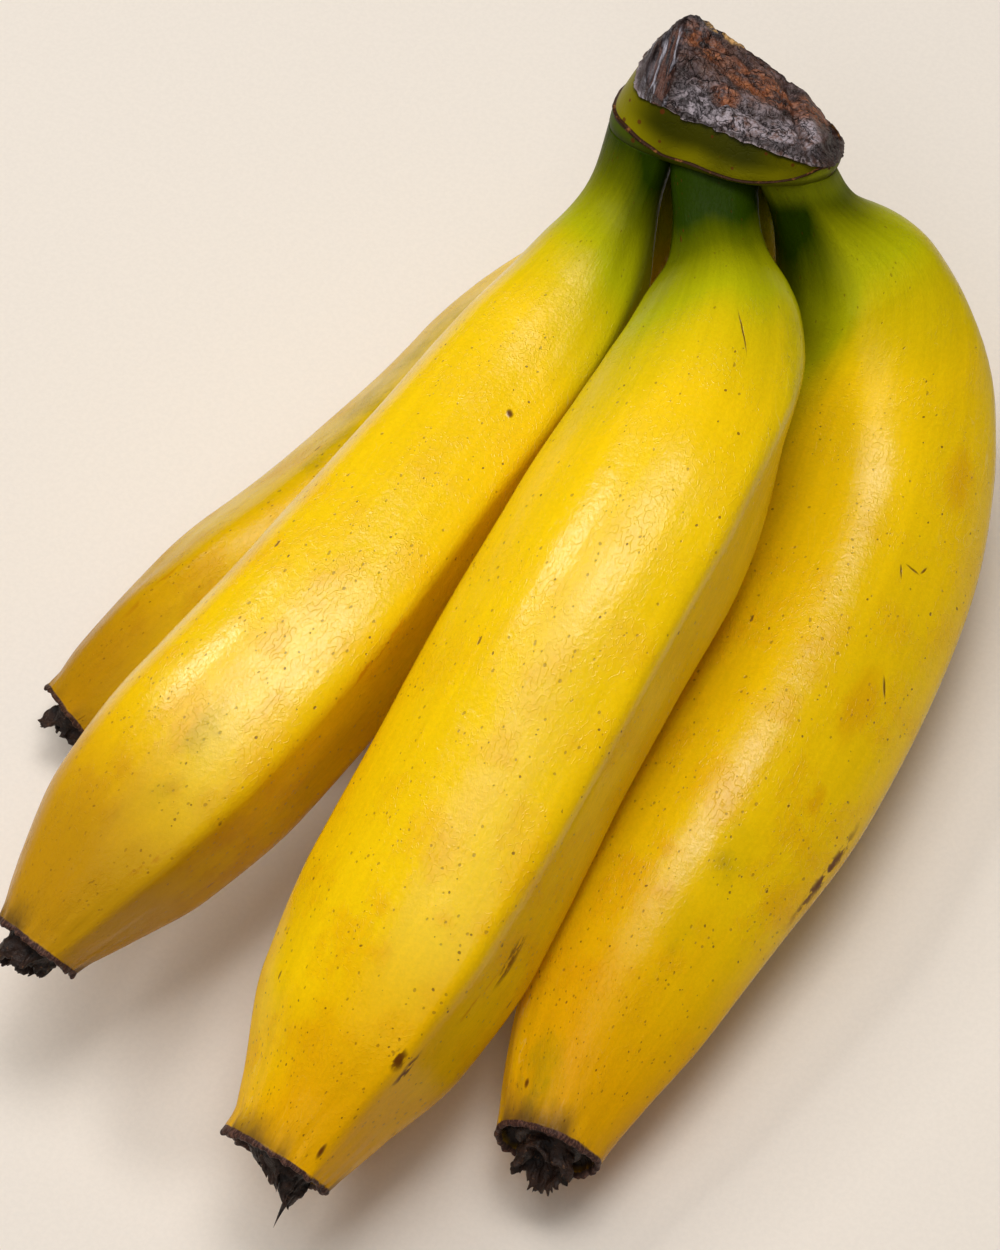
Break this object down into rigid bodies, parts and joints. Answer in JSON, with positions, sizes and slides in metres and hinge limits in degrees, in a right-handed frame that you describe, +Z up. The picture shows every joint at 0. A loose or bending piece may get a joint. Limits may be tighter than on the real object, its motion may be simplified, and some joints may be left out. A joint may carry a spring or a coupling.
{
  "type": "bunch of bananas",
  "caption": "Bunch of ripe bananas in two rows, joined at one cut crown and lying on its back, with dried blossom ends.",
  "frame": {"origin": "middle of the bunch's bounding box, on the surface that it lies on", "axes": "+Z up from that surface, +Y towards the crown, the tips towards -Y, +X to the right as seen from the tips"},
  "size_m": [0.1388, 0.2036, 0.075],
  "materials": {
    "crown": "dry dark fibrous cut face over a smooth yellow-olive band; rough and matte",
    "banana_upper_left": "waxy yellow banana peel, green at the neck, with fine brown specks; soft sheen",
    "blossom_end_upper_left": "dried dark brown to black flower remains; matte",
    "banana_upper_middle": "waxy yellow banana peel, green at the neck, with fine brown specks; soft sheen",
    "blossom_end_upper_middle": "dried dark brown to black flower remains; matte",
    "banana_upper_right": "waxy yellow banana peel, green at the neck, with fine brown specks; soft sheen",
    "blossom_end_upper_right": "dried dark brown to black flower remains; matte",
    "banana_lower_left": "waxy yellow banana peel, green at the neck, with fine brown specks; soft sheen",
    "blossom_end_lower_left": "dried dark brown to black flower remains; matte",
    "banana_lower_middle": "waxy yellow banana peel, green at the neck, with fine brown specks; soft sheen",
    "blossom_end_lower_middle": "dried dark brown to black flower remains; matte"
  },
  "bodies": {
    "root": {"crown": "crown", "banana_upper_left": "banana_upper_left", "blossom_end_upper_left": "blossom_end_upper_left", "banana_upper_middle": "banana_upper_middle", "blossom_end_upper_middle": "blossom_end_upper_middle", "banana_upper_right": "banana_upper_right", "blossom_end_upper_right": "blossom_end_upper_right", "banana_lower_left": "banana_lower_left", "blossom_end_lower_left": "blossom_end_lower_left", "banana_lower_middle": "banana_lower_middle", "blossom_end_lower_middle": "blossom_end_lower_middle"}
  },
  "joints": []
}
